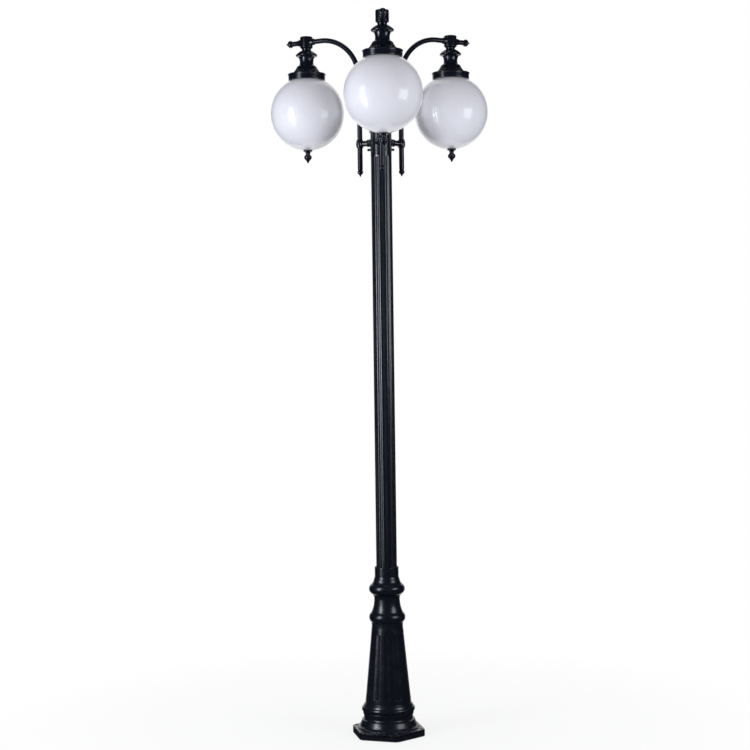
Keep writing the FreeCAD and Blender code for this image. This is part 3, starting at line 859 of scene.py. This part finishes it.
class LAMPPOST_OT_fixings(bpy.types.Operator):
    """Finishes the screws, nuts, nipples and the terminal block"""

    bl_idname = "lamppost.fixings"
    bl_label = "Finish Fixings"

    def execute(self, context):
        globes = context.scene.lamppost_globes
        fittings = context.scene.lamppost_fittings
        dress_all(bare_metal("zinc plate", fittings.zinc_colour, roughness=0.28),
                  "nipple", "nipple_nut", "finial_nut", "terminal_screws")
        dress_all(bare_metal("blackened steel", fittings.black_colour, roughness=0.34),
                  "column_screws", "hub_screws", "eye_screws", "tee_screw")
        dress("earth_screw", bare_metal("brass", fittings.brass_colour, roughness=0.24))
        dress("terminal_block", moulding("terminal block", globes.holder_colour, roughness=0.42))
        return {"FINISHED"}


# ---- the studio ----

def softbox(name, bearing, distance, low, high, width, power, studio, glossy):
    """An upright softbox that faces the post from a bearing, between two heights. With glossy off
    it lights the post but no gloss shows it."""
    lamp = bpy.data.lights.new(name, "AREA")
    lamp.shape = "RECTANGLE"
    lamp.size = width
    lamp.size_y = high - low
    lamp.energy = power
    lamp.color = studio.lamp_tint
    thing = bpy.data.objects.new(name, lamp)
    bpy.context.scene.collection.objects.link(thing)
    outwards = Vector((math.cos(bearing), math.sin(bearing), 0))
    thing.location = outwards * distance + Vector((0, 0, (low + high) / 2))
    thing.rotation_euler = outwards.to_track_quat("Z", "Y").to_euler()
    thing.visible_glossy = glossy
    thing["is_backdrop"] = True


def seen_share(finish):
    """1 on rays from the camera, a mirror or a glass, and 0 on the rest."""
    path = finish.node("ShaderNodeLightPath", {}, {})
    camera = Number(finish, path.outputs["Is Camera Ray"])
    mirror = Number(finish, path.outputs["Is Glossy Ray"])
    glass = Number(finish, path.outputs["Is Transmission Ray"])
    return finish.math("MINIMUM", camera + mirror + glass, 1.0)


class WorldFinish(Finish):
    """The world's own nodes, with the same short ways as a material's."""

    def __init__(self, world):
        world.use_nodes = True
        self.tree = world.node_tree
        self.shader = self.tree.nodes["Background"]


class LAMPPOST_OT_studio(bpy.types.Operator):
    """Sets the world, the floor, the softboxes, the black cloth and the camera"""

    bl_idname = "lamppost.studio"
    bl_label = "Set Studio"

    def execute(self, context):
        studio = context.scene.lamppost_studio
        facing = math.atan2(studio.camera_place[1], studio.camera_place[0])
        self.set_world(context.scene, studio)
        self.set_floor(studio)
        self.set_lamps(facing, studio)
        self.set_flag(facing)
        self.set_camera(context.scene, studio)
        context.scene.view_settings.view_transform = "Standard"
        return {"FINISHED"}

    def set_world(self, scene, studio):
        """A white surround where it is seen, and a plain grey one that lights."""
        scene.world = bpy.data.worlds.new("studio")
        sky = WorldFinish(scene.world)
        share = seen_share(sky)
        sky.feed(sky.shader.inputs["Color"], (1, 1, 1))
        sky.feed(sky.shader.inputs["Strength"], studio.sky_strength * (1 - share) + share)

    def set_floor(self, studio):
        """A wide flat floor. Seen from afar it is the white of the surround, and near the post its
        own light and shadow show through that white."""
        ring = np.linspace(0, TURN, FLOOR_SIDES, endpoint=False)
        rows = np.stack([np.stack([np.cos(ring) * r, np.sin(ring) * r, ring * 0], -1)
                         for r in FLOOR_RINGS])
        floor = grid_mesh("floor", rows)
        finish = Finish("floor")
        patches = finish.noise(2.0, 3.0)
        colour = finish.mix(patches, tuple(studio.floor_colour), (0.84, 0.84, 0.84))
        lit = finish.surface(Base_Color=colour, Roughness=0.9)
        away = finish.ramp(finish.distance() / FLOOR_FADE, (0.0, 0.0), (1.0, 1.0))
        white = finish.node("ShaderNodeEmission", {}, {"Color": (1, 1, 1), "Strength": 1.0})
        share = seen_share(finish) * (FLOOR_WHITE + away * (1 - FLOOR_WHITE))
        both = finish.node("ShaderNodeMixShader", {}, {
            0: share, 1: finish.shader.outputs["BSDF"], 2: white.outputs["Emission"]})
        output = finish.tree.nodes["Material Output"]
        finish.feed(output.inputs["Surface"], both.outputs["Shader"])
        floor.data.materials.append(lit)
        floor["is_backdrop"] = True

    def set_lamps(self, facing, studio):
        """Softboxes to the left and right of the camera and behind the post, on bearings that are
        turned from the camera's."""
        bearings = {"left": facing - LEFT_TURN, "right": facing + RIGHT_TURN,
                    "back": facing + math.pi}
        powers = {"left": studio.left_power, "right": studio.right_power,
                  "back": studio.right_power}
        for name, side, distance, low, high, width, share, glossy in SOFTBOXES:
            softbox(name, bearings[side], distance, low, high, width, powers[side] * share, studio,
                    glossy)

    def set_flag(self, facing):
        """A black cloth along the floor, up behind the softboxes and over the post, which only
        reflections show, so that the gloss black keeps its depth."""
        sweep = facing + np.linspace(-FLAG_HALF_ARC, FLAG_HALF_ARC, FLAG_COLUMNS)
        corners = ((FLAG_START, FLAG_LIFT), (FLAG_RADIUS, FLAG_LIFT), (FLAG_RADIUS, FLAG_HEIGHT),
                   (FLAG_START, FLAG_HEIGHT))
        wall = np.stack([
            np.stack([np.cos(sweep) * reach, np.sin(sweep) * reach, sweep * 0 + height], -1)
            for reach, height in corners])
        flag = grid_mesh("black flag", wall, closed_rings=False)
        finish = Finish("flag cloth")
        colour = finish.mix(finish.noise(30.0), (0.010, 0.010, 0.011), (0.016, 0.016, 0.017))
        flag.data.materials.append(finish.surface(Base_Color=colour, Roughness=0.9))
        flag.visible_camera = flag.visible_diffuse = False
        flag.visible_transmission = flag.visible_shadow = False
        flag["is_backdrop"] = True

    def set_camera(self, scene, studio):
        """The camera stands at its place and is turned by heading, pitch and roll."""
        camera = bpy.data.objects.new("camera", bpy.data.cameras.new("camera"))
        scene.collection.objects.link(camera)
        camera.data.lens = studio.camera_lens
        camera.data.sensor_width = 36.0
        heading, pitch, roll = studio.camera_turn
        turn = (Matrix.Rotation(heading, 4, "Z") @ Matrix.Rotation(math.pi / 2 + pitch, 4, "X")
                @ Matrix.Rotation(roll, 4, "Z"))
        camera.matrix_world = Matrix.Translation(Vector(studio.camera_place)) @ turn
        scene.camera = camera
        camera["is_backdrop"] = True


# ---- the sidebar ----

class LAMPPOST_PT_sidebar(bpy.types.Panel):
    """The lamp post's settings and steps"""

    bl_label = "Lamp Post"
    bl_idname = "LAMPPOST_PT_sidebar"
    bl_space_type = "VIEW_3D"
    bl_region_type = "UI"
    bl_category = "Lamp Post"

    def draw(self, context):
        column = self.layout.column()
        for operator in OPERATORS:
            column.operator(operator.bl_idname)
        for name, group in SETTINGS.items():
            box = self.layout.box()
            box.label(text=group.__doc__)
            for key in group.__annotations__:
                box.prop(getattr(context.scene, name), key)


OPERATORS = (
    LAMPPOST_OT_castings,
    LAMPPOST_OT_column,
    LAMPPOST_OT_arms,
    LAMPPOST_OT_canopies,
    LAMPPOST_OT_tees,
    LAMPPOST_OT_globes,
    LAMPPOST_OT_lamp_insides,
    LAMPPOST_OT_fixings,
    LAMPPOST_OT_studio,
)
SETTINGS = {
    "lamppost_paint": LampPostPaint,
    "lamppost_globes": LampPostGlobes,
    "lamppost_fittings": LampPostFittings,
    "lamppost_studio": LampPostStudio,
}


def register():
    for group in SETTINGS.values():
        bpy.utils.register_class(group)
    for name, group in SETTINGS.items():
        setattr(bpy.types.Scene, name, PointerProperty(type=group))
    for operator in OPERATORS:
        bpy.utils.register_class(operator)
    bpy.utils.register_class(LAMPPOST_PT_sidebar)


def unregister():
    bpy.utils.unregister_class(LAMPPOST_PT_sidebar)
    for operator in reversed(OPERATORS):
        bpy.utils.unregister_class(operator)
    for name in SETTINGS:
        delattr(bpy.types.Scene, name)
    for group in reversed(SETTINGS.values()):
        bpy.utils.unregister_class(group)


def main():
    """Runs every step in order and works out the size of the solids and of the dressed post."""
    register()
    bpy.ops.lamppost.castings()
    bpy.ops.lamppost.column()
    bpy.ops.lamppost.arms()
    bpy.ops.lamppost.canopies()
    bpy.ops.lamppost.tees()
    bpy.ops.lamppost.globes()
    bpy.ops.lamppost.lamp_insides()
    bpy.ops.lamppost.fixings()
    bpy.ops.lamppost.studio()
    boxes = {"cad": cad_box, "dressed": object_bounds()}
    {name: [list(corner) for corner in box] for name, box in boxes.items()}


if __name__ == "__main__":
    main()
